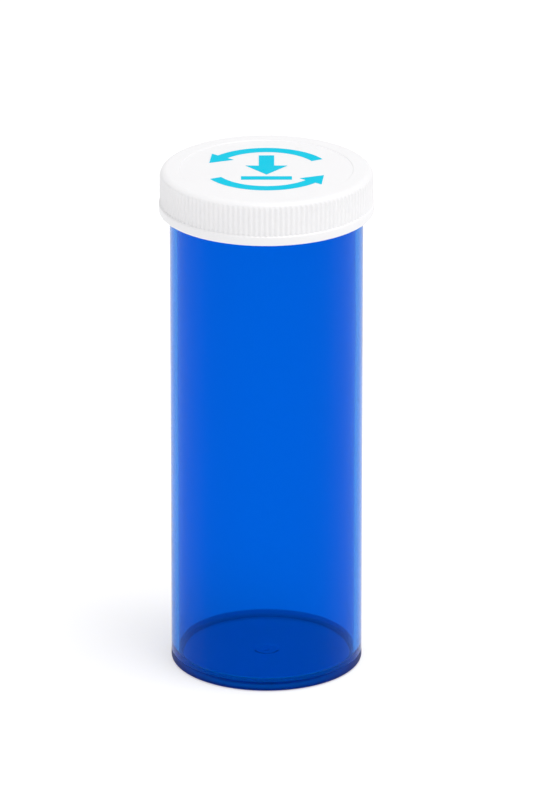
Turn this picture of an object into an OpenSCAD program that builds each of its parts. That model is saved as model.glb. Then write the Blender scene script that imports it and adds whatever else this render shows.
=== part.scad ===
// Prescription vial with a two-part child-resistant closure.
// Millimetres. The origin is the centre of the foot, on the surface the vial stands on. +Z is up.
// The cap's outer shell spins idly on the threaded inner cap. Pressing the shell down brings
// its teeth between those of the inner cap, and only then does it turn the thread.

/* [Vial] */
// Height of the closed vial, foot to top of cap
overall_h = 137; // [90:1:160]
// Diameter of the straight bore
bore_d = 46.6; // [40:0.2:52]
// Thickness of the body's wall
body_wall = 1.95; // [1.7:0.05:2.1]
// Thickness of the wall at the neck
neck_wall = 1; // [0.9:0.05:1.1]
// Height of the floor's upper face
floor_z = 2.9; // [2.2:0.1:3.2]
// Depth of the hollow under the floor
foot_recess = 0.9; // [0.6:0.1:1]
// Width of the ring that the vial stands on
foot_ring_w = 1.8; // [1.2:0.1:2.4]
// Radius of the fillet inside, between wall and floor
corner_r = 0.8; // [0.5:0.1:2]
// Radius of the outer edge of the foot
foot_edge_r = 0.85; // [0.5:0.05:1]
// Diameter of the raised gate mark under the floor
gate_d = 6.4; // [4:0.2:10]

/* [Thread] */
// Number of thread starts
thread_starts = 3; // [2:1:3]
// Rise of the thread in one turn
thread_lead = 9; // [7:0.5:9]
// Angle that each of the neck's threads covers
neck_thread_wrap = 100; // [90:5:105]
// Angle that each of the inner cap's threads covers
cap_thread_wrap = 80; // [60:5:80]
// Height of a thread above its wall
thread_depth = 0.85; // [0.75:0.05:0.9]
// Gap between a thread's crest and the other wall
thread_gap = 0.2; // [0.15:0.01:0.25]

/* [Closure] */
// Height of the cap's shell
cap_h = 11.4; // [11.2:0.1:13]
// Wall of the inner cap and of the shell at the bottom of its grooves
shell_wall = 0.95; // [0.9:0.05:1.1]
// Gap between the inner cap and the shell that spins on it
spin_gap = 0.2; // [0.15:0.01:0.3]
// Thickness of the shell's top
shell_top_t = 0.9; // [0.8:0.05:1]
// Thickness of the inner cap's top
inner_top_t = 0.85; // [0.8:0.05:0.9]
// Thickness of the sealing liner
liner_t = 0.9; // [0.8:0.05:1]
// Travel of the shell when it is pressed down
press_travel = 1.15; // [1:0.05:1.15]
// Height of the drive teeth
tooth_h = 1.05; // [1.05:0.05:1.1]
// Number of drive teeth on each part, a multiple of 4
tooth_count = 12; // [8:4:16]

/* [Grip] */
// Number of grooves round the shell
groove_count = 126; // [60:2:140]
// Depth of the grooves
groove_depth = 0.35; // [0.2:0.05:0.4]
// Height of the plain band under the grooves
band_h = 2.5; // [1.5:0.1:4]
// How far the band stands out from the ribs
band_step = 0.25; // [0.1:0.05:0.4]
// Radius of the shell's top edge
top_edge_r = 2; // [1:0.1:2]
// Width of the raised rim round the sunken panel on top
top_rim_w = 3.15; // [1.5:0.05:5]
// Depth of that panel
panel_depth = 0.2; // [0.1:0.05:0.3]

/* [Print] */
// Outer diameter of the ring of turning arrows
print_d = 33; // [26:0.5:36]
// Width of the printed strokes
print_stroke = 3.2; // [1.6:0.1:3.6]
// Thickness of the ink
print_t = 0.06; // [0.04:0.01:0.1]

/* [Hidden] */
$fn = 96;
BLEED = 0.1;        // how far one shape runs into the next where two are joined
TOUCH = 0.02;       // gap left between faces that only rest on each other
EASE = 0.1;         // clearance between faces that pass each other

// Radii, worked outwards from the bore
bore_r = bore_d / 2;
body_r = bore_r + body_wall;
neck_r = bore_r + neck_wall;
thread_r = neck_r + thread_depth;
inner_in_r = thread_r + thread_gap;
inner_out_r = inner_in_r + shell_wall;
shell_in_r = inner_out_r + spin_gap;
groove_root_r = shell_in_r + shell_wall;
rib_r = groove_root_r + groove_depth;
band_r = rib_r + band_step;

// Heights, worked down from the top
shell_z = overall_h - cap_h;
shell_under_z = overall_h - shell_top_t;
tooth_play = press_travel + EASE - tooth_h;
inner_top_z = shell_under_z - 2 * tooth_h - tooth_play;
liner_z = inner_top_z - inner_top_t - liner_t;
rim_z = liner_z - TOUCH;
catch_h = 0.8;
inner_z = shell_z + catch_h + EASE / 2;
shoulder_z = shell_z - EASE;

// Thread sections
thread_root_w = 1.3;
thread_crest_w = 0.7;
cap_thread_root_w = 1.2;
cap_thread_crest_w = 0.6;
thread_mid_drop = 0.98;     // how far the cap's thread lies under the neck's
thread_lag = 10;            // angle by which the cap's thread starts after the neck's
neck_thread_drop = 4.05;    // how far the neck's thread starts under the rim
neck_thread_z = rim_z - neck_thread_drop;

// Liner and the bead that keeps it in the inner cap
liner_gap = 0.35;
liner_r = inner_in_r - liner_gap;
bead_grip = 0.3;
bead_r = liner_r - bead_grip;
bead_h = 0.4;

// Drive teeth
tooth_in_r = 17;
tooth_out_r = liner_r - 0.5;
teeth_share = 132;          // angle that all the teeth of one part cover together
tooth_angle = teeth_share / tooth_count;

// Post on the inner cap and the spring disc that turns on it
post_r = 3;
post_gap = 0.08;
spring_bore_r = post_r + post_gap;
spring_r = 14.5;
spring_t = 0.45;
spring_h = shell_under_z - TOUCH - inner_top_z;
finger_count = 6;
finger_t = 0.4;
finger_in_r = 9.5;
finger_w = 3.5;
finger_start = -4;
finger_foot = 2;
finger_ramp = 6;
finger_tip = 1.8;
cleat_w = 0.8;
cleat_h = 0.5;
cleat_gap = 0.15;
cleat_start = finger_start + finger_foot + finger_ramp + finger_tip + cleat_gap;

groove_tool_r = 0.55;

// Points of an arc, from angle a to angle b
function arc(x, y, r, a, b, steps = 8) =
    [for (i = [0:steps]) let (t = a + (b - a) * i / steps) [x + r * cos(t), y + r * sin(t)]];

// Share of its full height that a thread has at step i of n, so that its ends run out
function run_out(i, n, fade = 4) = min(1, i / fade, (n - i) / fade);

// One helical rib from radius root_r to crest_r. It grows inwards where crest_r is the smaller.
module thread_rib(root_r, crest_r, root_w, crest_w, wrap) {
    step = 4;
    end_share = 0.3;
    n = round(wrap / step);
    outwards = crest_r > root_r;
    depth = abs(crest_r - root_r);
    sign_r = outwards ? 1 : -1;
    foot_depth = 0.3;
    foot_r = root_r - sign_r * foot_depth;
    foot_w = root_w + (root_w - crest_w) * foot_depth / depth;
    section = function (i)
        let (top_r = foot_r + (crest_r - foot_r) * max(end_share, run_out(i, n)))
        let (low = [[foot_r, -foot_w / 2], [top_r, -crest_w / 2]])
        let (high = [[top_r, crest_w / 2], [foot_r, foot_w / 2]])
        outwards ? concat(low, high) : concat([low[1], low[0]], [high[1], high[0]]);
    points = [
        for (i = [0:n]) let (a = wrap * i / n, z = thread_lead * a / 360)
            for (p = section(i)) [p[0] * cos(a), p[0] * sin(a), z + p[1]]
    ];
    sides = [
        for (i = [0:n - 1]) for (j = [0:3])
            [4 * i + j, 4 * i + (j + 1) % 4, 4 * (i + 1) + (j + 1) % 4, 4 * (i + 1) + j]
    ];
    ends = [[3, 2, 1, 0], [4 * n, 4 * n + 1, 4 * n + 2, 4 * n + 3]];
    polyhedron(points, concat(sides, ends), convexity = 4);
}

// Every start of a thread
module threads(root_r, crest_r, root_w, crest_w, wrap) {
    for (i = [0:thread_starts - 1])
        rotate(360 / thread_starts * i) thread_rib(root_r, crest_r, root_w, crest_w, wrap);
}

// A ring of wedge teeth standing on z = 0, each centred on its place
module teeth(first) {
    for (i = [0:tooth_count - 1])
        rotate(first + 360 / tooth_count * i - tooth_angle / 2)
            rotate_extrude(angle = tooth_angle)
                translate([tooth_in_r, 0]) square([tooth_out_r - tooth_in_r, tooth_h + BLEED]);
}

// The moulded container: foot, body, shoulder, threaded neck and rim
module vial_body() {
    lip_r = 0.3;
    gate_step = 0.3;
    foot_in_r = body_r - foot_edge_r - foot_ring_w;
    color([0, 0.36, 0.84], 0.8) {
        rotate_extrude() polygon(concat(
            [[0, foot_recess], [foot_in_r - foot_recess / 2, foot_recess], [foot_in_r, 0]],
            arc(body_r - foot_edge_r, foot_edge_r, foot_edge_r, -90, 0),
            [[body_r, shoulder_z], [neck_r, shoulder_z + body_r - neck_r]],
            arc(neck_r - lip_r, rim_z - lip_r, lip_r, 0, 90, 4),
            arc(bore_r + lip_r, rim_z - lip_r, lip_r, 90, 180, 4),
            arc(bore_r - corner_r, floor_z + corner_r, corner_r, 0, -90),
            [[0, floor_z]]
        ));
        translate([0, 0, foot_recess - gate_step]) cylinder(d = gate_d, h = gate_step + BLEED);
        translate([0, 0, foot_recess - 2 * gate_step])
            cylinder(d = gate_d / 4, h = gate_step + BLEED);
        translate([0, 0, neck_thread_z])
            threads(neck_r, thread_r, thread_root_w, thread_crest_w, neck_thread_wrap);
    }
}

// The soft disc that seals on the rim
module sealing_liner() {
    color("WhiteSmoke") translate([0, 0, liner_z]) cylinder(r = liner_r, h = liner_t - TOUCH);
}

// The threaded inner cap, with the teeth that the shell drives and the post for the spring disc
module inner_cap() {
    edge_r = 0.6;
    under_z = inner_top_z - inner_top_t;
    bead_z = liner_z - bead_h - EASE;
    color("Gainsboro") {
        rotate_extrude() polygon(concat(
            [[0, under_z], [inner_in_r, under_z], [inner_in_r, bead_z + bead_h]],
            [[bead_r, bead_z + bead_h], [bead_r, bead_z + bead_h / 2], [inner_in_r, bead_z]],
            [[inner_in_r, inner_z], [inner_out_r, inner_z]],
            arc(inner_out_r - edge_r, inner_top_z - edge_r, edge_r, 0, 90, 6),
            [[0, inner_top_z]]
        ));
        translate([0, 0, inner_top_z - BLEED]) teeth(0);
        translate([0, 0, inner_top_z - BLEED]) cylinder(r = post_r, h = tooth_h);
        rotate(thread_lag)
            translate([0, 0, neck_thread_z - thread_mid_drop + thread_lead * thread_lag / 360])
                threads(inner_in_r, neck_r + thread_gap, cap_thread_root_w, cap_thread_crest_w,
                    cap_thread_wrap);
    }
}

// One finger of the spring disc: a strip that lies on the disc, climbs and ends flat
module spring_finger() {
    bend = 0.1;
    rise = spring_h - finger_t;
    far = finger_foot + finger_ramp;
    rotate([90, 0, 90]) linear_extrude(finger_w) polygon([
        [0, 0], [finger_foot, 0], [far, rise], [far + finger_tip, rise],
        [far + finger_tip, rise + finger_t], [far - bend, rise + finger_t],
        [finger_foot - bend, spring_t], [0, spring_t]
    ]);
}

// The springy disc that turns on the post and holds the shell up
module spring_disc() {
    color("AliceBlue") translate([0, 0, inner_top_z + TOUCH / 2]) {
        difference() {
            cylinder(r = spring_r, h = spring_t);
            translate([0, 0, -BLEED]) cylinder(r = spring_bore_r, h = spring_t + 2 * BLEED);
        }
        for (i = [0:finger_count - 1])
            rotate(360 / finger_count * i) translate([finger_in_r, finger_start, 0]) spring_finger();
    }
}

// The visible shell: grooved grip, plain band, sunken panel, and inside it the teeth, the
// cleats that turn the spring disc, and the catch that holds the shell on the inner cap
module outer_cap() {
    panel_r = rib_r - top_edge_r - top_rim_w;
    low_edge = 0.4;
    catch_lap = 0.3;
    catch_r = inner_out_r - catch_lap;
    inside_edge = 0.4;
    color("White") {
        difference() {
            rotate_extrude() polygon(concat(
                [[0, shell_under_z], [shell_in_r - inside_edge, shell_under_z]],
                [[shell_in_r, shell_under_z - inside_edge], [shell_in_r, shell_z + catch_h]],
                [[catch_r, shell_z + catch_h], [catch_r, shell_z + low_edge], [shell_in_r - EASE, shell_z]],
                arc(band_r - low_edge, shell_z + low_edge, low_edge, -90, 0, 4),
                [[band_r, shell_z + band_h - band_step], [rib_r, shell_z + band_h]],
                arc(rib_r - top_edge_r, overall_h - top_edge_r, top_edge_r, 0, 90, 12),
                [[panel_r, overall_h], [panel_r - panel_depth, overall_h - panel_depth]],
                [[0, overall_h - panel_depth]]
            ));
            for (i = [0:groove_count - 1])
                rotate(360 / groove_count * i)
                    translate([groove_root_r + groove_tool_r, 0, shell_z + band_h])
                        cylinder(r = groove_tool_r, h = cap_h, $fn = 24);
        }
        translate([0, 0, shell_under_z - tooth_h]) teeth(180 / tooth_count);
        for (i = [0:finger_count - 1])
            rotate(360 / finger_count * i)
                translate([finger_in_r, cleat_start, shell_under_z - cleat_h])
                    cube([finger_w, cleat_w, cleat_h + BLEED]);
    }
}

// One arrow that runs anticlockwise round the ring, from angle a to angle b
module turning_arrow(a, b) {
    mid_r = (print_d - print_stroke) / 2;
    head = print_stroke * 1.15;
    rotate(a) rotate_extrude(angle = b - a)
        translate([mid_r - print_stroke / 2, 0]) square([print_stroke, print_t]);
    rotate(b) linear_extrude(print_t)
        polygon([[mid_r - head, 0], [mid_r + head, 0], [mid_r - print_stroke / 8, head * 1.6]]);
}

// Ink on the panel: two arrows that turn to open, round an arrow that presses down on a bar
module printed_arrows() {
    bar_w = print_d * 0.4;
    shaft_w = print_stroke * 1.25;
    head_w = print_d * 0.33;
    low = -print_d * 0.25;
    color("DarkTurquoise") translate([0, 0, overall_h - panel_depth]) {
        turning_arrow(28, 140);
        turning_arrow(208, 320);
        linear_extrude(print_t) {
            translate([-bar_w / 2, low]) square([bar_w, print_stroke * 0.8]);
            translate([-shaft_w / 2, low + print_stroke * 3.2]) square([shaft_w, print_stroke * 2.7]);
            polygon([[-head_w / 2, low + print_stroke * 3.4], [head_w / 2, low + print_stroke * 3.4],
                [0, low + print_stroke * 1.25]]);
        }
    }
}

vial_body();
sealing_liner();
inner_cap();
spring_disc();
outer_cap();
printed_arrows();
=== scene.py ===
"""Looks of a tall blue prescription vial and its child-resistant closure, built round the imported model.

Everything is in metres in the model's own frame: the origin is the centre of the foot and +Z is up.
Sizes that the model settles are read from its boxes, and the rest are fields of each piece's class,
in millimetres.
"""

import logging
import math
from dataclasses import dataclass, field, replace
from enum import Enum
from typing import Callable, Iterable, Optional, Union

import bpy
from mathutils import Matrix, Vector

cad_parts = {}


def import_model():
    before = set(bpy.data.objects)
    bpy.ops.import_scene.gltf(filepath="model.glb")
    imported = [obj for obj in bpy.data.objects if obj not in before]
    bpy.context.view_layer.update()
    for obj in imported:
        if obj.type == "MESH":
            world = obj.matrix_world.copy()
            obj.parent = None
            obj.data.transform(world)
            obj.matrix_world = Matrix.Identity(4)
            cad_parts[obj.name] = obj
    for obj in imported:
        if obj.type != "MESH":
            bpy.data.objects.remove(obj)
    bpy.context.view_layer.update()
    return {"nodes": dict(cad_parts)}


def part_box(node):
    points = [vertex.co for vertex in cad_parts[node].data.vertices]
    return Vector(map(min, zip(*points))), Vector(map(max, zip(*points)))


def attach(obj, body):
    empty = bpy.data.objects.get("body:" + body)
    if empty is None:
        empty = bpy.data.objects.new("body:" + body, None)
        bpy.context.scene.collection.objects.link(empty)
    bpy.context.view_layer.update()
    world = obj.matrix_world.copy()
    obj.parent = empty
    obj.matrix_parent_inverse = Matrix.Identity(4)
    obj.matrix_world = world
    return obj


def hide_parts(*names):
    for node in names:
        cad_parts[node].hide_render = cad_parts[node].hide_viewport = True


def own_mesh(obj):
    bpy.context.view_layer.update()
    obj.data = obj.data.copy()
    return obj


log = logging.getLogger("vial")

MM = 0.001
FULL_TURN = 2 * math.pi
WELD = 0.002            # points closer than this many millimetres are merged
SAME_PLACE = 0.003      # how far a point may lie from the corner that it stands for
FLAT = 0.01             # how far a face may lie from the level that it is looked for on
SAME_BEARING = 0.1      # how many degrees a point may lie off the bearing it is looked for on
Triple = tuple[float, float, float]
Pick = Callable[[Vector], bool]
Value = Union[bpy.types.NodeSocket, float]


class Body(str, Enum):
    """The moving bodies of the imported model."""

    VIAL = "vial"
    SEAL = "seal"
    INNER_CAP = "inner_cap"
    SPRING = "spring"
    SHELL = "shell"


class Slot(str, Enum):
    """The record's material slots."""

    BLUE_PLASTIC = "blue_clear_plastic"
    LINER_FOAM = "liner_foam"
    NATURAL_PLASTIC = "natural_plastic"
    SPRING_PLASTIC = "spring_plastic"
    WHITE_PLASTIC = "white_plastic"
    CYAN_INK = "cyan_ink"


# ---------------------------------------------------------------------------------------------
# Finishes
# ---------------------------------------------------------------------------------------------


class Effect(str, Enum):
    """Shader node groups that several finishes share."""

    MOULD_GRAIN = "mould_grain"
    SOFT_WAVES = "soft_waves"
    HANDLING = "handling_marks"
    # The foot's masks: its low part is frosted, and its outer ring carries painted shade.
    FOOT = "foot_frost_and_painted_shade"


class Nodes:
    """A short way to add and wire nodes in one tree."""

    def __init__(self, tree: bpy.types.NodeTree) -> None:
        """Keeps the tree.

        Args:
            tree: The node tree to add to.
        """
        self.tree = tree

    def add(self, kind: str, **settings: object) -> bpy.types.Node:
        """Adds a node.

        Args:
            kind: The node's type, such as ShaderNodeBump.
            **settings: Attributes to set on it.

        Returns:
            The new node.
        """
        node = self.tree.nodes.new(kind)
        for name, value in settings.items():
            setattr(node, name, value)
        return node

    def wire(self, source: bpy.types.NodeSocket, target: bpy.types.NodeSocket) -> None:
        """Joins an output to an input."""
        self.tree.links.new(source, target)

    def feed(self, value: Value, target: bpy.types.NodeSocket) -> None:
        """Gives an input a value.

        Args:
            value: A number, which is set, or an output, which is joined.
            target: The input.
        """
        if isinstance(value, float):
            target.default_value = value
        else:
            self.wire(value, target)

    def noise(self, where: bpy.types.NodeSocket, scale: Value, detail: float = 2.0,
              roughness: float = 0.5) -> bpy.types.NodeSocket:
        """Adds a noise texture.

        Args:
            where: The coordinates it reads.
            scale: Its cells per metre.
            detail: Its octaves.
            roughness: The strength of its finer octaves.

        Returns:
            Its value.
        """
        node = self.add("ShaderNodeTexNoise")
        self.wire(where, node.inputs["Vector"])
        self.feed(scale, node.inputs["Scale"])
        self.feed(detail, node.inputs["Detail"])
        self.feed(roughness, node.inputs["Roughness"])
        return node.outputs["Fac"]

    def span(self, value: bpy.types.NodeSocket, low: float, high: float, to_low: Value = 0.0,
             to_high: Value = 1.0) -> bpy.types.NodeSocket:
        """Maps a value from one range to another.

        Args:
            value: The value.
            low: Where the old range starts.
            high: Where it ends.
            to_low: Where the new range starts.
            to_high: Where it ends.

        Returns:
            The mapped value, clamped.
        """
        node = self.add("ShaderNodeMapRange")
        self.wire(value, node.inputs["Value"])
        self.feed(low, node.inputs["From Min"])
        self.feed(high, node.inputs["From Max"])
        self.feed(to_low, node.inputs["To Min"])
        self.feed(to_high, node.inputs["To Max"])
        return node.outputs["Result"]

    def maths(self, operation: str, first: bpy.types.NodeSocket, second: Value
              ) -> bpy.types.NodeSocket:
        """Adds a maths node.

        Args:
            operation: Its operation, such as MULTIPLY.
            first: Its first input.
            second: Its second input, an output or a number.

        Returns:
            Its value.
        """
        node = self.add("ShaderNodeMath", operation=operation)
        self.wire(first, node.inputs[0])
        self.feed(second, node.inputs[1])
        return node.outputs[0]


class EffectLibrary:
    """Builds each shared effect once, the first time that a finish asks for it."""

    def __init__(self) -> None:
        """Starts with no effect built."""
        self.built: dict[Effect, bpy.types.NodeTree] = {}

    def tree(self, effect: Effect) -> bpy.types.NodeTree:
        """Gives an effect's node group.

        Args:
            effect: Which effect.

        Returns:
            The group.
        """
        if effect not in self.built:
            makers = {
                Effect.MOULD_GRAIN: self.make_mould_grain,
                Effect.SOFT_WAVES: self.make_soft_waves,
                Effect.HANDLING: self.make_handling_marks,
                Effect.FOOT: self.make_foot_frost_and_painted_shade,
            }
            self.built[effect] = makers[effect]()
        return self.built[effect]

    @staticmethod
    def start(effect: Effect, inputs: dict[str, float], outputs: Iterable[str]
              ) -> tuple[Nodes, bpy.types.Node, bpy.types.Node]:
        """Starts a group with its sockets.

        Args:
            effect: Which effect.
            inputs: Its number inputs and their values.
            outputs: Its outputs, each of which varies over a surface.

        Returns:
            The group's nodes, its input node and its output node.
        """
        group = bpy.data.node_groups.new(effect.value, "ShaderNodeTree")
        group.interface.new_socket("Vector", in_out="INPUT", socket_type="NodeSocketVector")
        for name, value in inputs.items():
            socket = group.interface.new_socket(name, in_out="INPUT", socket_type="NodeSocketFloat")
            socket.default_value = value
        for name in outputs:
            group.interface.new_socket(name, in_out="OUTPUT", socket_type="NodeSocketFloat")
        nodes = Nodes(group)
        return nodes, nodes.add("NodeGroupInput"), nodes.add("NodeGroupOutput")

    def make_mould_grain(self) -> bpy.types.NodeTree:
        """Builds the fine grain that a mould leaves: grain height and the roughness that goes with it."""
        nodes, given, result = self.start(
            Effect.MOULD_GRAIN, {"Grain": 9000.0, "Rough Low": 0.35, "Rough High": 0.45},
            ("Height", "Roughness"))
        grain = nodes.noise(given.outputs["Vector"], given.outputs["Grain"])
        patches = nodes.noise(given.outputs["Vector"], 160.0, detail=3.0)
        rough = nodes.span(patches, 0.3, 0.7, given.outputs["Rough Low"],
                           given.outputs["Rough High"])
        nodes.wire(grain, result.inputs["Height"])
        nodes.wire(rough, result.inputs["Roughness"])
        return nodes.tree

    def make_soft_waves(self) -> bpy.types.NodeTree:
        """Builds the long shallow waves of a moulded wall, drawn out along Z as the plastic flowed."""
        along_z = 0.22
        nodes, given, result = self.start(Effect.SOFT_WAVES, {"Waves": 90.0}, ("Height",))
        drawn = nodes.add("ShaderNodeMapping")
        drawn.inputs["Scale"].default_value = (1.0, 1.0, along_z)
        nodes.wire(given.outputs["Vector"], drawn.inputs["Vector"])
        waves = nodes.noise(drawn.outputs["Vector"], given.outputs["Waves"], detail=1.0)
        nodes.wire(waves, result.inputs["Height"])
        return nodes.tree

    def make_handling_marks(self) -> bpy.types.NodeTree:
        """Builds faint smudges and scuffs from handling: a mask from 0, clean, to 1, marked."""
        where_smudged_only = 0.35
        nodes, given, result = self.start(Effect.HANDLING, {"Amount": 0.3}, ("Mask",))
        smudges = nodes.noise(given.outputs["Vector"], 55.0, detail=4.0, roughness=0.6)
        scuffs = nodes.noise(given.outputs["Vector"], 1400.0, roughness=0.7)
        smudged = nodes.span(smudges, 0.52, 0.7)
        scuffed = nodes.span(nodes.span(scuffs, 0.55, 0.75), 0.0, 1.0, where_smudged_only, 1.0)
        both = nodes.maths("MULTIPLY", smudged, scuffed)
        nodes.wire(nodes.maths("MULTIPLY", both, given.outputs["Amount"]), result.inputs["Mask"])
        return nodes.tree

    def make_foot_frost_and_painted_shade(self) -> bpy.types.NodeTree:
        """Builds two masks: one of all that lies low down, which frosts the foot, and one of its outer
        ring alone, which carries painted shade under the foot.
        """
        low_fade, ring_fade = 0.00015, 0.0004
        nodes, given, result = self.start(Effect.FOOT, {"Top": 0.0027, "Ring": 0.0224},
                                          ("Low", "Ring"))
        split = nodes.add("ShaderNodeSeparateXYZ")
        nodes.wire(given.outputs["Vector"], split.inputs["Vector"])
        flat = nodes.add("ShaderNodeCombineXYZ")
        nodes.wire(split.outputs["X"], flat.inputs["X"])
        nodes.wire(split.outputs["Y"], flat.inputs["Y"])
        from_axis = nodes.add("ShaderNodeVectorMath", operation="LENGTH")
        nodes.wire(flat.outputs["Vector"], from_axis.inputs[0])
        above = nodes.maths("SUBTRACT", split.outputs["Z"], given.outputs["Top"])
        outside = nodes.maths("SUBTRACT", from_axis.outputs["Value"], given.outputs["Ring"])
        low = nodes.span(above, 0.0, low_fade, 1.0, 0.0)
        ring = nodes.maths("MULTIPLY", low, nodes.span(outside, 0.0, ring_fade))
        nodes.wire(low, result.inputs["Low"])
        nodes.wire(ring, result.inputs["Ring"])
        return nodes.tree


@dataclass
class Finish:
    """A material under construction: its Principled shader, its coordinates and its shared effects."""

    name: str
    effects: EffectLibrary
    material: bpy.types.Material = field(init=False)
    nodes: Nodes = field(init=False)
    shader: bpy.types.Node = field(init=False)
    output: bpy.types.Node = field(init=False)
    where: bpy.types.NodeSocket = field(init=False)

    def __post_init__(self) -> None:
        """Makes the material with its shader wired to its output."""
        self.material = bpy.data.materials.new(self.name)
        self.material.use_nodes = True
        self.nodes = Nodes(self.material.node_tree)
        self.shader = self.material.node_tree.nodes["Principled BSDF"]
        self.output = self.material.node_tree.nodes["Material Output"]
        self.where = self.nodes.add("ShaderNodeTexCoord").outputs["Object"]

    def set(self, **values: object) -> None:
        """Sets plain values on the shader's own sockets.

        Args:
            **values: Socket names with underscores for spaces, and their values.
        """
        for name, value in values.items():
            self.shader.inputs[name.replace("_", " ")].default_value = value

    def effect(self, effect: Effect, **values: float) -> bpy.types.Node:
        """Places a shared effect.

        Args:
            effect: Which one.
            **values: Its inputs, with underscores for spaces.

        Returns:
            The group node.
        """
        node = self.nodes.add("ShaderNodeGroup", node_tree=self.effects.tree(effect))
        self.nodes.wire(self.where, node.inputs["Vector"])
        for name, value in values.items():
            node.inputs[name.replace("_", " ")].default_value = value
        return node

    def raise_surface(self, height: bpy.types.NodeSocket, depth: float, strength: float = 1.0,
                      under: Optional[bpy.types.Node] = None) -> bpy.types.Node:
        """Adds a bump to the shader's normal.

        Args:
            height: The varying height, from 0 to 1.
            depth: What a height of 1 stands for, in metres.
            strength: The share of it that shows.
            under: An earlier bump that this one lies on.

        Returns:
            The bump node.
        """
        bump = self.nodes.add("ShaderNodeBump")
        bump.inputs["Distance"].default_value = depth
        bump.inputs["Strength"].default_value = strength
        self.nodes.wire(height, bump.inputs["Height"])
        if under is not None:
            self.nodes.wire(under.outputs["Normal"], bump.inputs["Normal"])
        self.nodes.wire(bump.outputs["Normal"], self.shader.inputs["Normal"])
        return bump

    def shade(self, mask: bpy.types.NodeSocket, plain: Triple, marked: Triple) -> None:
        """Varies the base colour over the surface.

        Args:
            mask: 0 where the surface is plain, 1 where it is marked.
            plain: The plain colour.
            marked: The marked colour.
        """
        mix = self.nodes.add("ShaderNodeMix", data_type="RGBA")
        factor, first, second = mix.inputs[0], mix.inputs[6], mix.inputs[7]
        self.nodes.wire(mask, factor)
        first.default_value = (*plain, 1.0)
        second.default_value = (*marked, 1.0)
        self.nodes.wire(mix.outputs[2], self.shader.inputs["Base Color"])


@dataclass(frozen=True)
class BlueClearPlastic:
    """Clear polypropylene, blue in its skin and all through, with a frosted foot and painted shade, a
    darker blue, on the foot's outer ring.
    """

    refraction: float = 1.18
    skin: Triple = (0.0, 0.37, 0.85)
    # painted shade: this darker blue of the foot's outer ring stands in for the shaded floor seen under
    # the foot
    foot_painted_shade: Triple = (0.0, 0.05, 0.3)
    foot_frost: float = 0.45
    clearness: float = 0.95
    tint: Triple = (0.0, 0.51, 0.894)
    tint_density: float = 170.0
    gloss_tint: Triple = (0.0, 0.22, 0.9)

    def make(self, effects: EffectLibrary) -> bpy.types.Material:
        """Builds the material.

        Args:
            effects: The shared effects.

        Returns:
            The material.
        """
        finish = Finish("blue_clear_plastic", effects)
        finish.set(Transmission_Weight=self.clearness, IOR=self.refraction,
                   Specular_Tint=(*self.gloss_tint, 1.0))
        foot = finish.effect(Effect.FOOT)
        # The foot's outer ring gets the darker blue of painted shade.
        finish.shade(foot.outputs["Ring"], self.skin, self.foot_painted_shade)
        grain = finish.effect(Effect.MOULD_GRAIN, Grain=5200.0, Rough_Low=0.02, Rough_High=0.045)
        frost = finish.nodes.maths("MULTIPLY", foot.outputs["Low"], self.foot_frost)
        finish.nodes.wire(finish.nodes.maths("MAXIMUM", grain.outputs["Roughness"], frost),
                          finish.shader.inputs["Roughness"])
        waves = finish.effect(Effect.SOFT_WAVES, Waves=95.0)
        finish.raise_surface(waves.outputs["Height"], depth=0.00035, strength=0.35)
        volume = finish.nodes.add("ShaderNodeVolumeAbsorption")
        volume.inputs["Color"].default_value = (*self.tint, 1.0)
        volume.inputs["Density"].default_value = self.tint_density
        finish.nodes.wire(volume.outputs["Volume"], finish.output.inputs["Volume"])
        return finish.material


@dataclass(frozen=True)
class MouldedPlastic:
    """An opaque moulded plastic with a fine grain and faint marks from handling."""

    name: str
    colour: Triple
    marked: Triple
    rough_low: float = 0.34
    rough_high: float = 0.44
    grain: float = 6500.0
    grain_depth: float = 0.00002
    marks: float = 0.3
    glow_through: float = 0.12

    def make(self, effects: EffectLibrary) -> bpy.types.Material:
        """Builds the material.

        Args:
            effects: The shared effects.

        Returns:
            The material.
        """
        finish = Finish(self.name, effects)
        finish.set(IOR=1.49, Subsurface_Weight=self.glow_through, Subsurface_Scale=0.0012,
                   Subsurface_Radius=(1.0, 0.95, 0.9))
        grain = finish.effect(Effect.MOULD_GRAIN, Grain=self.grain, Rough_Low=self.rough_low,
                              Rough_High=self.rough_high)
        finish.nodes.wire(grain.outputs["Roughness"], finish.shader.inputs["Roughness"])
        waves = finish.effect(Effect.SOFT_WAVES, Waves=150.0)
        wavy = finish.raise_surface(waves.outputs["Height"], depth=0.0003, strength=0.3)
        finish.raise_surface(grain.outputs["Height"], self.grain_depth, strength=0.6, under=wavy)
        marks = finish.effect(Effect.HANDLING, Amount=self.marks)
        finish.shade(marks.outputs["Mask"], self.colour, self.marked)
        return finish.material


@dataclass(frozen=True)
class LinerFoam:
    """Closed-cell foam with a smooth skin."""

    colour: Triple = (0.8, 0.8, 0.78)
    pore: Triple = (0.6, 0.6, 0.58)
    cells_per_metre: float = 3200.0

    def make(self, effects: EffectLibrary) -> bpy.types.Material:
        """Builds the material.

        Args:
            effects: The shared effects.

        Returns:
            The material.
        """
        finish = Finish("liner_foam", effects)
        finish.set(Roughness=0.75, IOR=1.45)
        cells = finish.nodes.add("ShaderNodeTexVoronoi")
        cells.inputs["Scale"].default_value = self.cells_per_metre
        finish.nodes.wire(finish.where, cells.inputs["Vector"])
        pores = finish.nodes.span(cells.outputs["Distance"], 0.0, 0.6)
        finish.raise_surface(pores, depth=0.00006, strength=0.7)
        finish.shade(finish.nodes.span(pores, 0.0, 0.5, 0.6, 0.0), self.colour, self.pore)
        return finish.material


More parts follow.
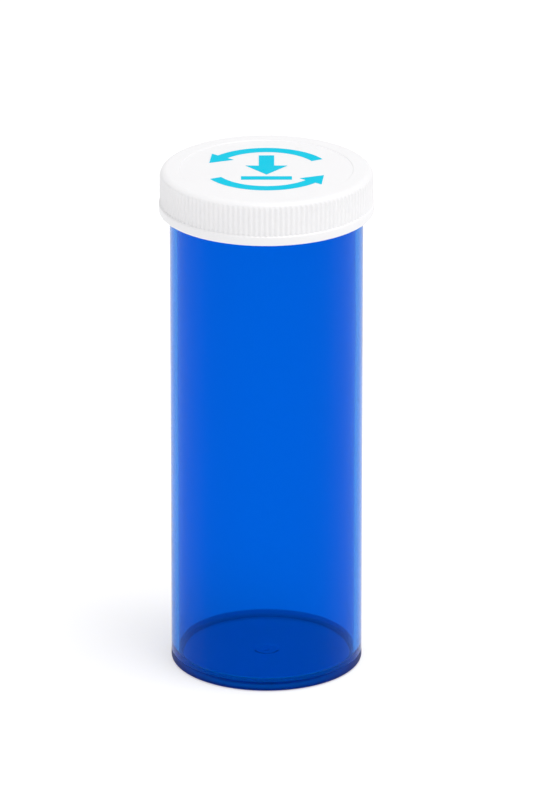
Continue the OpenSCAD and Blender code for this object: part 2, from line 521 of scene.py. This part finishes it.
@dataclass(frozen=True)
class CyanInk:
    """Pad-printed ink, slightly thinner towards its specks."""

    colour: Triple = (0.0, 0.55, 0.74)
    thin: Triple = (0.0, 0.61, 0.79)
    thinning: float = 0.8

    def make(self, effects: EffectLibrary) -> bpy.types.Material:
        """Builds the material.

        Args:
            effects: The shared effects.

        Returns:
            The material.
        """
        finish = Finish("cyan_ink", effects)
        finish.set(IOR=1.5, Specular_IOR_Level=0.02)
        grain = finish.effect(Effect.MOULD_GRAIN, Grain=9000.0, Rough_Low=0.3, Rough_High=0.42)
        finish.nodes.wire(grain.outputs["Roughness"], finish.shader.inputs["Roughness"])
        finish.raise_surface(grain.outputs["Height"], depth=0.00001, strength=0.5)
        clouds = finish.nodes.noise(finish.where, 2600.0, detail=3.0, roughness=0.6)
        specks = finish.nodes.maths("MULTIPLY", finish.nodes.span(clouds, 0.5, 0.75), self.thinning)
        finish.shade(specks, self.colour, self.thin)
        return finish.material


class FinishRack:
    """Every finish of the object, by the record's slot."""

    def __init__(self) -> None:
        """Makes all the materials."""
        effects = EffectLibrary()
        self.by_slot: dict[Slot, bpy.types.Material] = {
            Slot.BLUE_PLASTIC: BlueClearPlastic().make(effects),
            Slot.LINER_FOAM: LinerFoam().make(effects),
            Slot.NATURAL_PLASTIC: MouldedPlastic(
                "natural_plastic", colour=(0.76, 0.77, 0.75), marked=(0.7, 0.7, 0.68),
                marks=0.1, glow_through=0.3).make(effects),
            Slot.SPRING_PLASTIC: MouldedPlastic(
                "spring_plastic", colour=(0.72, 0.75, 0.78), marked=(0.66, 0.68, 0.7),
                rough_low=0.28, rough_high=0.36, marks=0.1).make(effects),
            Slot.WHITE_PLASTIC: MouldedPlastic(
                "white_plastic", colour=(0.88, 0.875, 0.885), marked=(0.8, 0.795, 0.8)
            ).make(effects),
            Slot.CYAN_INK: CyanInk().make(effects),
        }

    def dress(self, piece: bpy.types.Object, slot: Slot) -> None:
        """Gives a piece its finish and names its slot.

        Args:
            piece: The piece.
            slot: The record's slot.
        """
        piece.data.materials.clear()
        piece.data.materials.append(self.by_slot[slot])


# ---------------------------------------------------------------------------------------------
# Steps of modelling
# ---------------------------------------------------------------------------------------------


@dataclass(frozen=True)
class Corner:
    """A corner of an outline that is turned on the Z axis, in millimetres."""

    r: float
    z: float
    round: float = 0.0
    steps: int = 6


class Workpiece:
    """A mesh that is modelled step by step, as by hand."""

    def __init__(self, name: str) -> None:
        """Starts from a small plane that is merged to a single point.

        Args:
            name: The piece's name.
        """
        bpy.ops.object.select_all(action="DESELECT")
        bpy.ops.mesh.primitive_plane_add(size=MM)
        self.obj: bpy.types.Object = bpy.context.active_object
        self.obj.name = name
        self.obj.data.name = name
        self.edit()
        bpy.ops.mesh.select_all(action="SELECT")
        bpy.ops.mesh.merge(type="CENTER")

    def edit(self) -> None:
        """Goes into edit mode with points selectable."""
        bpy.ops.object.select_all(action="DESELECT")
        self.obj.select_set(True)
        bpy.context.view_layer.objects.active = self.obj
        bpy.ops.object.mode_set(mode="EDIT")
        bpy.ops.mesh.select_mode(type="VERT")

    def leave(self) -> None:
        """Goes back to object mode, if it isn't there already."""
        if self.obj.mode == "EDIT":
            bpy.ops.object.mode_set(mode="OBJECT")

    def pick_points(self, wanted: Pick) -> None:
        """Selects points by their place, and nothing else.

        Args:
            wanted: Says whether the point at a place is wanted.
        """
        bpy.ops.mesh.select_mode(type="VERT")
        bpy.ops.mesh.select_all(action="DESELECT")
        self.leave()
        chosen = [wanted(point.co) for point in self.obj.data.vertices]
        self.obj.data.vertices.foreach_set("select", chosen)
        bpy.ops.object.mode_set(mode="EDIT")

    def pick_faces(self, wanted: Pick) -> None:
        """Selects faces by their centre, and nothing else.

        Args:
            wanted: Says whether a face with its centre at a place is wanted.
        """
        bpy.ops.mesh.select_mode(type="FACE")
        bpy.ops.mesh.select_all(action="DESELECT")
        self.leave()
        chosen = [wanted(face.center) for face in self.obj.data.polygons]
        self.obj.data.polygons.foreach_set("select", chosen)
        bpy.ops.object.mode_set(mode="EDIT")

    def draw(self, corners: list[Corner], closed: bool = False) -> None:
        """Draws an outline in the XZ plane by extruding the point, then rounds its corners.

        Args:
            corners: The outline's corners in order.
            closed: Whether its last corner joins its first.
        """
        first = corners[0]
        bpy.ops.transform.translate(value=(first.r * MM, 0.0, first.z * MM))
        for before, after in zip(corners, corners[1:]):
            step = ((after.r - before.r) * MM, 0.0, (after.z - before.z) * MM)
            bpy.ops.mesh.extrude_vertices_move(TRANSFORM_OT_translate={"value": step})
        if closed:
            ends = (corners[0], corners[-1])
            self.pick_points(lambda co: any(near(co, end) for end in ends))
            bpy.ops.mesh.edge_face_add()
        for corner, reach in self.roundings(corners, closed):
            self.pick_points(lambda co, c=corner: near(co, c))
            bpy.ops.mesh.bevel(offset_type="OFFSET", offset=reach * MM, segments=corner.steps,
                               affect="VERTICES", profile=0.5)

    @staticmethod
    def roundings(corners: list[Corner], closed: bool) -> list[tuple[Corner, float]]:
        """Works out how far from each rounded corner its round starts.

        Args:
            corners: The outline's corners.
            closed: Whether the last one joins the first.

        Returns:
            Each rounded corner, with the length that its round takes off both its sides.
        """
        found = []
        for i, corner in enumerate(corners):
            if not corner.round or (not closed and i in (0, len(corners) - 1)):
                continue
            before, after = corners[i - 1], corners[(i + 1) % len(corners)]
            arrive = math.atan2(corner.z - before.z, corner.r - before.r)
            depart = math.atan2(after.z - corner.z, after.r - corner.r)
            bend = abs((depart - arrive + math.pi) % FULL_TURN - math.pi)
            found.append((corner, corner.round * math.tan(bend / 2)))
        return found

    def turn(self, columns: int) -> None:
        """Spins the outline once round the Z axis and closes the seam and the poles.

        Args:
            columns: The number of steps in the turn.
        """
        bpy.ops.mesh.select_all(action="SELECT")
        bpy.ops.mesh.spin(steps=columns, angle=FULL_TURN, center=(0, 0, 0), axis=(0, 0, 1))
        self.close()

    def close(self) -> None:
        """Merges doubled points and points every face outwards."""
        bpy.ops.mesh.select_all(action="SELECT")
        bpy.ops.mesh.remove_doubles(threshold=WELD * MM)
        bpy.ops.mesh.normals_make_consistent(inside=False)

    def apply(self, kind: str, **settings: object) -> None:
        """Adds a modifier and applies it.

        Args:
            kind: The modifier's type.
            **settings: Attributes to set on it.
        """
        self.leave()
        bpy.context.view_layer.objects.active = self.obj
        modifier = self.obj.modifiers.new(kind.lower(), kind)
        for name, value in settings.items():
            setattr(modifier, name, value)
        bpy.ops.object.modifier_apply(modifier=modifier.name)

    def unite(self, other: "Workpiece") -> None:
        """Makes one solid of this piece and another, which goes.

        Args:
            other: The piece that is added.
        """
        other.leave()
        self.apply("BOOLEAN", operation="UNION", solver="EXACT", object=other.obj)
        bpy.data.objects.remove(other.obj)

    def finish(self, body: Body, replaces: str, sharp_deg: float = 35.0) -> bpy.types.Object:
        """Smooths the piece, puts it on its body and lets it stand for a node of the model.

        Args:
            body: The body it rides on.
            replaces: The node it stands for.
            sharp_deg: Edges that bend more than this stay sharp.

        Returns:
            The finished object.
        """
        self.leave()
        bpy.ops.object.select_all(action="DESELECT")
        self.obj.select_set(True)
        bpy.context.view_layer.objects.active = self.obj
        bpy.ops.object.shade_smooth_by_angle(angle=math.radians(sharp_deg))
        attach(self.obj, body.value)
        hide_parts(replaces)
        log.info("%s: %d faces, on %s", self.obj.name, len(self.obj.data.polygons), body.value)
        return self.obj


def near(co: Vector, corner: Corner) -> bool:
    """True if a point of an outline lies on a corner."""
    return abs(co.x / MM - corner.r) < SAME_PLACE and abs(co.z / MM - corner.z) < SAME_PLACE


def radius(co: Vector) -> float:
    """The distance from the Z axis in millimetres."""
    return math.hypot(co.x, co.y) / MM


def bearing(co: Vector) -> float:
    """The angle round the Z axis in degrees, from 0 to 360."""
    return math.degrees(math.atan2(co.y, co.x)) % 360


def apart(first: float, second: float) -> float:
    """The angle in degrees between two bearings, from 0 to 180."""
    return abs((first - second + 180) % 360 - 180)


@dataclass(frozen=True)
class Thread:
    """The ribs of a three-start screw thread, in millimetres and degrees."""

    root_r: float
    crest_r: float
    root_w: float
    crest_w: float
    start_z: float
    start_deg: float
    wrap_deg: float
    lead: float = 9.0
    starts: int = 3
    sink: float = 0.3
    crest_round: float = 0.12
    columns: int = 40
    fade: int = 5
    end_share: float = 0.3

    def rib(self, start: int) -> Workpiece:
        """Models one rib: its section is drawn, screwed round the axis, closed and faded out.

        Args:
            start: Which of the starts it is.

        Returns:
            The rib.
        """
        side = math.copysign(1.0, self.crest_r - self.root_r)
        foot_r = self.root_r - side * self.sink
        flare = (self.root_w - self.crest_w) / abs(self.crest_r - self.root_r)
        foot_w = self.root_w + flare * self.sink
        rib = Workpiece(f"thread_rib_{start}")
        rib.draw([
            Corner(foot_r, -foot_w / 2),
            Corner(self.crest_r, -self.crest_w / 2, self.crest_round, 3),
            Corner(self.crest_r, self.crest_w / 2, self.crest_round, 3),
            Corner(foot_r, foot_w / 2),
        ], closed=True)
        rib.leave()
        rib.apply("SCREW", axis="Z", angle=math.radians(self.wrap_deg), steps=self.columns,
                  render_steps=self.columns, iterations=1, use_normal_calculate=True,
                  screw_offset=self.lead * self.wrap_deg / 360 * MM)
        rib.edit()
        step_deg = self.wrap_deg / self.columns
        sunk_r = (foot_r + self.root_r) / 2
        for end_deg, inwards in ((0.0, 1), (self.wrap_deg, -1)):
            rib.pick_points(lambda co, a=end_deg: apart(bearing(co), a) < SAME_BEARING)
            bpy.ops.mesh.edge_face_add()
            for i in range(self.fade):
                share = (i + self.end_share) / self.fade
                ratio = (sunk_r + (self.crest_r - sunk_r) * share) / self.crest_r
                rib.pick_points(lambda co, a=end_deg + inwards * step_deg * i:
                                apart(bearing(co), a) < SAME_BEARING
                                and abs(radius(co) - self.crest_r) < 2 * self.crest_round)
                bpy.ops.transform.resize(value=(ratio, ratio, 1.0), center_override=(0, 0, 0))
        bpy.ops.mesh.select_all(action="SELECT")
        bpy.ops.mesh.normals_make_consistent(inside=False)
        turn = math.radians(self.start_deg + 360 / self.starts * start)
        bpy.ops.transform.translate(value=(0, 0, self.start_z * MM))
        bpy.ops.transform.rotate(value=-turn, orient_axis="Z", center_override=(0, 0, 0))
        rib.leave()
        return rib

    def add_to(self, piece: Workpiece) -> None:
        """Makes every rib one solid with a piece.

        Args:
            piece: The neck or cap that carries the thread.
        """
        piece.leave()
        for start in range(self.starts):
            piece.unite(self.rib(start))


@dataclass(frozen=True)
class Teeth:
    """Blocks that stand on a flat ring of a turned piece, in millimetres and degrees."""

    in_r: float
    out_r: float
    height: float
    width_deg: float
    count: int
    first_deg: float = 0.0

    def raise_from(self, piece: Workpiece, level: float, way: int) -> None:
        """Pulls the blocks out of the ring.

        Args:
            piece: The piece, in edit mode.
            level: The ring's height.
            way: 1 for blocks that stand up, -1 for blocks that hang down.
        """
        middles = [self.first_deg + 360 / self.count * i for i in range(self.count)]
        piece.pick_faces(lambda co: abs(co.z / MM - level) < FLAT
                         and self.in_r < radius(co) < self.out_r
                         and any(apart(bearing(co), m) < self.width_deg / 2 for m in middles))
        bpy.ops.mesh.extrude_region_move(
            TRANSFORM_OT_translate={"value": (0, 0, way * self.height * MM)})
        bpy.ops.mesh.select_all(action="SELECT")
        bpy.ops.mesh.normals_make_consistent(inside=False)


# ---------------------------------------------------------------------------------------------
# The pieces
# ---------------------------------------------------------------------------------------------


@dataclass
class Container:
    """The moulded blue vial: foot ring, floor, straight body, shoulder, threaded neck and rim.

    Beside each round of a long flat wall the outline has one more point, hold_w away, so that the
    wall is shaded flat up to its round.
    """

    body_r: float
    rim_z: float
    wall: float = 1.95
    neck_wall: float = 1.0
    floor_z: float = 2.9
    recess: float = 0.9
    recess_round: float = 0.3
    ring_w: float = 1.8
    ring_round: float = 0.15
    foot_round: float = 0.85
    corner_round: float = 0.8
    shoulder_z: float = 125.5
    shoulder_round: float = 0.25
    shoulder_hold: float = 0.55
    lip_round: float = 0.3
    gate_r: float = 2.7
    gate_step: float = 0.3
    gate_slope: float = 0.9
    nib_r: float = 0.8
    nib_round: float = 0.12
    thread_depth: float = 0.85
    thread_drop: float = 4.05
    hold_w: float = 0.35
    columns: int = 240

    @property
    def bore_r(self) -> float:
        """Radius of the bore."""
        return self.body_r - self.wall

    @property
    def neck_r(self) -> float:
        """Radius of the neck between its threads."""
        return self.bore_r + self.neck_wall

    def build(self) -> bpy.types.Object:
        """Models the container.

        Returns:
            The finished object.
        """
        hold = self.hold_w
        ring_in = self.body_r - self.foot_round - self.ring_w
        recess_out = ring_in - self.recess / 2
        gate_out = self.gate_r + self.gate_slope
        gate_z = self.recess - self.gate_step
        nib_z = gate_z - self.gate_step
        soft, lip = self.recess_round, self.lip_round
        piece = Workpiece("blue_vial")
        piece.draw([
            Corner(0, nib_z),
            Corner(self.nib_r, nib_z, self.nib_round, 2),
            Corner(self.nib_r, gate_z),
            Corner(self.gate_r, gate_z, soft, 4),
            Corner(gate_out, self.recess, soft, 4),
            Corner(gate_out + 2 * hold, self.recess),
            Corner(recess_out - soft - hold, self.recess),
            Corner(recess_out, self.recess, soft, 4),
            Corner(ring_in, 0, self.ring_round, 3),
            Corner(self.body_r, 0, self.foot_round, 8),
            Corner(self.body_r, self.foot_round + hold),
            Corner(self.body_r, self.shoulder_z - self.shoulder_hold),
            Corner(self.body_r, self.shoulder_z, self.shoulder_round, 4),
            Corner(self.neck_r, self.shoulder_z + self.body_r - self.neck_r, self.shoulder_round, 4),
            Corner(self.neck_r, self.rim_z - lip - hold),
            Corner(self.neck_r, self.rim_z, lip, 5),
            Corner(self.bore_r, self.rim_z, lip, 5),
            Corner(self.bore_r, self.rim_z - lip - hold),
            Corner(self.bore_r, self.floor_z + self.corner_round + hold),
            Corner(self.bore_r, self.floor_z, self.corner_round, 12),
            Corner(self.bore_r - self.corner_round - hold, self.floor_z),
            Corner(0, self.floor_z),
        ])
        piece.turn(self.columns)
        Thread(root_r=self.neck_r, crest_r=self.neck_r + self.thread_depth, root_w=1.3,
               crest_w=0.7, start_z=self.rim_z - self.thread_drop, start_deg=0.0,
               wrap_deg=100.0).add_to(piece)
        return piece.finish(Body.VIAL, "vial_body", sharp_deg=40.0)


@dataclass
class Liner:
    """The soft disc that seals on the rim, with the ring that the rim has pressed into it."""

    r: float
    low_z: float
    high_z: float
    rim_r: float = 23.8
    dent_w: float = 0.9
    dent: float = 0.03
    dent_slope: float = 0.2
    edge_round: float = 0.15
    columns: int = 180

    def build(self) -> bpy.types.Object:
        """Models the liner.

        Returns:
            The finished object.
        """
        dent_in, dent_out = self.rim_r - self.dent_w, self.rim_r + self.dent_w / 2
        dent_z = self.low_z + self.dent
        piece = Workpiece("foam_liner")
        piece.draw([
            Corner(0, self.low_z),
            Corner(dent_in - self.dent_slope, self.low_z),
            Corner(dent_in, dent_z),
            Corner(dent_out, dent_z),
            Corner(dent_out + self.dent_slope, self.low_z),
            Corner(self.r, self.low_z, self.edge_round, 4),
            Corner(self.r, self.high_z, self.edge_round, 4),
            Corner(0, self.high_z),
        ])
        piece.turn(self.columns)
        return piece.finish(Body.SEAL, "sealing_liner")


@dataclass
class InnerCap:
    """The threaded inner cap, with the ring of drive teeth and the post on its top."""

    outer_r: float
    low_z: float
    tooth_top_z: float
    wall: float = 0.95
    foot_round: float = 0.25
    inside_round: float = 0.2
    top_t: float = 0.85
    top_round: float = 0.6
    teeth: Teeth = Teeth(in_r=17.0, out_r=24.5, height=1.05, width_deg=11.0, count=12)
    post_r: float = 3.0
    post_h: float = 0.95
    post_round: float = 0.2
    bead_depth: float = 0.65
    bead_round: float = 0.1
    bead_h: float = 0.4
    bead_drop: float = 0.5
    liner_t: float = 0.9
    rim_gap: float = 0.02
    thread_depth: float = 0.85
    thread_drop: float = 4.78
    columns: int = 360

    def build(self) -> bpy.types.Object:
        """Models the inner cap.

        Returns:
            The finished object.
        """
        top_z = self.tooth_top_z - self.teeth.height
        under_z = top_z - self.top_t
        inner_r = self.outer_r - self.wall
        bead_r = inner_r - self.bead_depth
        bead_z = under_z - self.liner_t - self.bead_drop
        piece = Workpiece("threaded_inner_cap")
        piece.draw([
            Corner(0, under_z),
            Corner(inner_r, under_z, self.inside_round, 3),
            Corner(inner_r, bead_z + self.bead_h),
            Corner(bead_r, bead_z + self.bead_h, self.bead_round, 3),
            Corner(bead_r, bead_z + self.bead_h / 2, self.bead_round, 3),
            Corner(inner_r, bead_z),
            Corner(inner_r, self.low_z, self.inside_round, 3),
            Corner(self.outer_r, self.low_z, self.foot_round, 3),
            Corner(self.outer_r, top_z, self.top_round, 6),
            Corner(self.teeth.out_r, top_z),
            Corner(self.teeth.in_r, top_z),
            Corner(self.post_r, top_z),
            Corner(self.post_r, top_z + self.post_h, self.post_round, 3),
            Corner(0, top_z + self.post_h),
        ])
        piece.turn(self.columns)
        self.teeth.raise_from(piece, top_z, way=1)
        rim_z = under_z - self.liner_t - self.rim_gap
        Thread(root_r=inner_r, crest_r=inner_r - self.thread_depth, root_w=1.2, crest_w=0.6,
               start_z=rim_z - self.thread_drop, start_deg=10.0, wrap_deg=80.0).add_to(piece)
        return piece.finish(Body.INNER_CAP, "inner_cap")


@dataclass
class SpringDisc:
    """The disc that turns on the post, with six curved fingers that hold the shell up."""

    base_z: float
    top_z: float
    r: float = 14.5
    bore_r: float = 3.08
    sheet_t: float = 0.45
    edge_round: float = 0.12
    fingers: int = 6
    finger_t: float = 0.4
    finger_in_r: float = 9.5
    finger_w: float = 3.5
    finger_start: float = -4.0
    finger_foot: float = 2.0
    finger_ramp: float = 6.0
    finger_tip: float = 1.8
    finger_sink: float = 0.05
    bend_round: float = 3.0
    bend_shift: float = 0.1
    travel: float = 1.15
    play: float = 0.02
    columns: int = 120

    def build(self) -> bpy.types.Object:
        """Models the spring disc.

        Returns:
            The finished object, with a mesh of its own.
        """
        low, high = self.base_z, self.base_z + self.sheet_t
        piece = Workpiece("spring_disc_sheet")
        piece.draw([
            Corner(self.bore_r, low),
            Corner(self.r, low, self.edge_round, 3),
            Corner(self.r, high, self.edge_round, 3),
            Corner(self.bore_r, high, self.edge_round, 3),
        ], closed=True)
        piece.turn(self.columns)
        piece.leave()
        for i in range(self.fingers):
            piece.unite(self.finger(360 / self.fingers * i))
        finished = piece.finish(Body.SPRING, "spring_disc")
        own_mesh(finished)
        return finished

    def finger(self, at_deg: float) -> Workpiece:
        """Models one finger: a strip that lies on the sheet, climbs in a soft S and ends flat.

        Args:
            at_deg: Its bearing.

        Returns:
            The finger.
        """
        low, thick = self.base_z + self.finger_sink, self.finger_t
        high = self.top_z - thick
        foot_end = self.finger_start + self.finger_foot
        ramp_end = foot_end + self.finger_ramp
        tip_end = ramp_end + self.finger_tip
        side = [
            Corner(self.finger_start, low),
            Corner(foot_end, low, self.bend_round, 4),
            Corner(ramp_end, high, self.bend_round, 4),
            Corner(tip_end, high),
            Corner(tip_end, high + thick),
            Corner(ramp_end - self.bend_shift, high + thick, self.bend_round, 4),
            Corner(foot_end - self.bend_shift, low + thick, self.bend_round, 4),
            Corner(self.finger_start, low + thick),
        ]
        strip = Workpiece("spring_finger")
        strip.draw(side, closed=True)
        bpy.ops.mesh.select_all(action="SELECT")
        bpy.ops.mesh.edge_face_add()
        bpy.ops.mesh.extrude_region_move(
            TRANSFORM_OT_translate={"value": (0, self.finger_w * MM, 0)})
        bpy.ops.mesh.select_all(action="SELECT")
        bpy.ops.transform.translate(value=(0, self.finger_in_r * MM, 0))
        bpy.ops.transform.rotate(value=-math.radians(at_deg), orient_axis="Z",
                                 center_override=(0, 0, 0))
        bpy.ops.mesh.normals_make_consistent(inside=False)
        strip.leave()
        return strip


@dataclass
class Shell:
    """The white outer shell: grooved grip, plain band, rounded top edge and sunken panel.

    Its outline has points hold_w away from its rounds, as the container's has.
    """

    band_r: float
    low_z: float
    top_z: float
    band_h: float = 2.5
    band_step: float = 0.25
    band_round: float = 0.15
    groove_depth: float = 0.35
    groove_round: float = 0.55
    groove_sill: float = 0.12
    grooves: int = 126
    wall: float = 0.95
    top_t: float = 0.9
    edge_round: float = 2.0
    rim_w: float = 3.15
    panel_depth: float = 0.2
    panel_round: float = 0.1
    inside_round: float = 0.5
    catch_h: float = 0.8
    catch_depth: float = 0.5
    catch_round: float = 0.15
    mouth_round: float = 0.1
    low_round: float = 0.4
    teeth: Teeth = replace(InnerCap.teeth, first_deg=180 / InnerCap.teeth.count)
    cleats: Teeth = Teeth(in_r=9.5, out_r=13.5, height=0.5, width_deg=3.0, count=6, first_deg=30.6)
    hold_w: float = 0.3
    columns_per_groove: int = 6

    @property
    def rib_r(self) -> float:
        """Radius of the ribs' crests."""
        return self.band_r - self.band_step

    @property
    def root_r(self) -> float:
        """Radius of the grooves' bottoms."""
        return self.rib_r - self.groove_depth

    def build(self) -> bpy.types.Object:
        """Models the shell.

        Returns:
            The finished object.
        """
        inner_r = self.root_r - self.wall
        catch_r = inner_r - self.catch_depth
        panel_r = self.rib_r - self.edge_round - self.rim_w
        panel_in = panel_r - self.panel_depth
        catch_z = self.low_z + self.catch_h
        grip_z = self.low_z + self.band_h
        under_z = self.top_z - self.top_t
        panel_z = self.top_z - self.panel_depth
        hold, low = self.hold_w, self.low_round
        piece = Workpiece("white_shell")
        piece.draw([
            Corner(0, under_z),
            Corner(self.cleats.in_r, under_z),
            Corner(self.cleats.out_r, under_z),
            Corner(self.teeth.in_r, under_z),
            Corner(self.teeth.out_r, under_z),
            Corner(inner_r, under_z, self.inside_round, 3),
            Corner(inner_r, catch_z),
            Corner(catch_r, catch_z, self.catch_round, 3),
            Corner(catch_r, self.low_z + low, self.catch_round, 3),
            Corner(inner_r - self.mouth_round, self.low_z, self.mouth_round, 2),
            Corner(self.band_r, self.low_z, low, 5),
            Corner(self.band_r, self.low_z + low + hold),
            Corner(self.band_r, grip_z - self.band_step, self.band_round, 3),
            Corner(self.rib_r, grip_z),
            Corner(self.rib_r, grip_z + self.groove_sill),
            Corner(self.rib_r, self.top_z - self.edge_round - hold),
            Corner(self.rib_r, self.top_z, self.edge_round, 14),
            Corner(self.rib_r - self.edge_round - hold, self.top_z),
            Corner(panel_r + hold, self.top_z),
            Corner(panel_r, self.top_z, self.panel_round, 3),
            Corner(panel_in, panel_z, self.panel_round, 3),
            Corner(panel_in - hold, panel_z),
            Corner(0, panel_z),
        ])
        self.turn_grooved(piece, grip_z + self.groove_sill / 2)
        self.teeth.raise_from(piece, under_z, way=-1)
        self.cleats.raise_from(piece, under_z, way=-1)
        return piece.finish(Body.SHELL, "outer_cap", sharp_deg=50.0)

    def turn_grooved(self, piece: Workpiece, from_z: float) -> None:
        """Turns one groove's width of the outline, cuts the groove and repeats the wedge all round.

        Args:
            piece: The shell's outline, in edit mode.
            from_z: Height above which the grip is grooved.
        """
        pitch = FULL_TURN / self.grooves
        bpy.ops.mesh.select_all(action="SELECT")
        bpy.ops.mesh.spin(steps=self.columns_per_groove, angle=pitch, center=(0, 0, 0),
                          axis=(0, 0, 1))
        self.cut_groove(piece, from_z)
        bpy.ops.mesh.select_all(action="SELECT")
        bpy.ops.transform.rotate(value=pitch / 2, orient_axis="Z", center_override=(0, 0, 0))
        bpy.ops.mesh.spin(steps=self.grooves - 1, dupli=True, angle=FULL_TURN - pitch,
                          center=(0, 0, 0), axis=(0, 0, 1))
        piece.close()

    def cut_groove(self, piece: Workpiece, from_z: float) -> None:
        """Pushes the wedge's inner columns in towards the axis, row by row up into the rounded edge.

        Args:
            piece: The turned wedge.
            from_z: Height above which the grip is grooved.
        """
        step_deg = 360 / self.grooves / self.columns_per_groove
        step = FULL_TURN * self.rib_r / self.grooves / self.columns_per_groove
        piece.leave()
        rows = sorted({round(radius(point.co), 3) for point in piece.obj.data.vertices
                       if point.co.z / MM > from_z and radius(point.co) > self.root_r})
        piece.edit()
        for column in range(1, self.columns_per_groove):
            offset = abs(column - self.columns_per_groove / 2) * step
            cut = math.sqrt(max(self.groove_round ** 2 - offset ** 2, 0.0))
            floor_r = self.root_r + self.groove_round - cut
            for row_r in (r for r in rows if r > floor_r):
                piece.pick_points(
                    lambda co, r=row_r, a=column * step_deg: co.z / MM > from_z
                    and abs(radius(co) - r) < WELD
                    and abs(apart(bearing(co), 0.0) - a) < step_deg / 4)
                ratio = floor_r / row_r
                bpy.ops.transform.resize(value=(ratio, ratio, 1.0), center_override=(0, 0, 0))


# ---------------------------------------------------------------------------------------------
# The studio
# ---------------------------------------------------------------------------------------------


@dataclass(frozen=True)
class Lamp:
    """A soft rectangular lamp aimed at the vial, in metres and watts."""

    name: str
    place: Triple
    size: float
    power: float


@dataclass
class Studio:
    """White floor, even white surroundings, a soft lamp and the camera, in metres and degrees."""

    aim_z: float = 0.0725
    distance: float = 2.117
    elevation_deg: float = 21.08
    sensor_mm: float = 36.0
    focal_widths: float = 10.074
    surround: float = 0.72
    floor_width: float = 12.0
    floor_gap: float = 0.00004
    floor_colour: float = 0.68
    floor_glow: float = 0.46
    lamp: Lamp = Lamp("key", place=(0.34, -0.24, 1.32), size=0.7, power=7.4)

    def build(self) -> None:
        """Makes the floor, the lights and the camera."""
        scene = bpy.context.scene
        scene.view_settings.view_transform = "Standard"
        scene.view_settings.look = "None"
        self.make_world(scene)
        self.make_floor()
        self.hang(self.lamp)
        self.place_camera(scene)

    def make_world(self, scene: bpy.types.Scene) -> None:
        """Surrounds the vial with even white light.

        Args:
            scene: The scene.
        """
        world = bpy.data.worlds.new("white_room")
        scene.world = world
        world.use_nodes = True
        background = world.node_tree.nodes["Background"]
        background.inputs["Color"].default_value = (1.0, 0.998, 1.0, 1.0)
        background.inputs["Strength"].default_value = self.surround

    def make_floor(self) -> None:
        """Lays a broad matte floor, a hair under the foot so that no two faces lie in one plane."""
        bpy.ops.object.select_all(action="DESELECT")
        bpy.ops.mesh.primitive_plane_add(size=self.floor_width, location=(0, 0, -self.floor_gap))
        floor = bpy.context.active_object
        floor.name = "studio_floor"
        material = bpy.data.materials.new("studio_floor")
        material.use_nodes = True
        shader = material.node_tree.nodes["Principled BSDF"]
        shade = self.floor_colour
        shader.inputs["Base Color"].default_value = (shade, shade * 0.998, shade, 1.0)
        shader.inputs["Roughness"].default_value = 0.9
        shader.inputs["Specular IOR Level"].default_value = 0.1
        shader.inputs["Emission Color"].default_value = (1.0, 1.0, 1.0, 1.0)
        shader.inputs["Emission Strength"].default_value = self.floor_glow
        floor.data.materials.append(material)

    def hang(self, lamp: Lamp) -> None:
        """Hangs a lamp that points at the middle of the vial.

        Args:
            lamp: The lamp.
        """
        bpy.ops.object.light_add(type="AREA", location=lamp.place)
        light = bpy.context.active_object
        light.name = f"lamp_{lamp.name}"
        light.data.shape = "SQUARE"
        light.data.size = lamp.size
        light.data.energy = lamp.power
        aim = Vector((0, 0, self.aim_z)) - Vector(lamp.place)
        light.rotation_euler = aim.to_track_quat("-Z", "Y").to_euler()

    def place_camera(self, scene: bpy.types.Scene) -> None:
        """Puts the camera in front of the vial, looking down on it.

        Args:
            scene: The scene.
        """
        tilt = math.radians(self.elevation_deg)
        aim = Vector((0, 0, self.aim_z))
        back = Vector((0, -math.cos(tilt), math.sin(tilt)))
        bpy.ops.object.camera_add(location=aim + back * self.distance)
        camera = bpy.context.active_object
        camera.name = "camera"
        camera.rotation_euler = (-back).to_track_quat("-Z", "Y").to_euler()
        camera.data.sensor_width = self.sensor_mm
        camera.data.lens = self.sensor_mm * self.focal_widths
        camera.data.clip_end = 50.0
        scene.camera = camera


def main() -> None:
    """Builds every piece in order."""
    logging.basicConfig(level=logging.INFO, format="%(name)s: %(message)s")
    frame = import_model()
    finishes = FinishRack()
    low, high = {}, {}
    for node in frame["nodes"]:
        low[node], high[node] = (corner / MM for corner in map(Vector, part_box(node)))

    vial = Container(body_r=high["vial_body"].x, rim_z=high["vial_body"].z).build()
    finishes.dress(vial, Slot.BLUE_PLASTIC)
    liner = Liner(r=high["sealing_liner"].x, low_z=low["sealing_liner"].z,
                  high_z=high["sealing_liner"].z).build()
    finishes.dress(liner, Slot.LINER_FOAM)
    inner_cap = InnerCap(outer_r=high["inner_cap"].x, low_z=low["inner_cap"].z,
                         tooth_top_z=high["inner_cap"].z).build()
    finishes.dress(inner_cap, Slot.NATURAL_PLASTIC)
    spring = SpringDisc(base_z=low["spring_disc"].z, top_z=high["spring_disc"].z).build()
    finishes.dress(spring, Slot.SPRING_PLASTIC)
    shell = Shell(band_r=high["outer_cap"].x, low_z=low["outer_cap"].z,
                  top_z=high["outer_cap"].z).build()
    finishes.dress(shell, Slot.WHITE_PLASTIC)
    finishes.dress(frame["nodes"]["printed_arrows"], Slot.CYAN_INK)

    Studio().build()


if __name__ == "__main__":
    main()
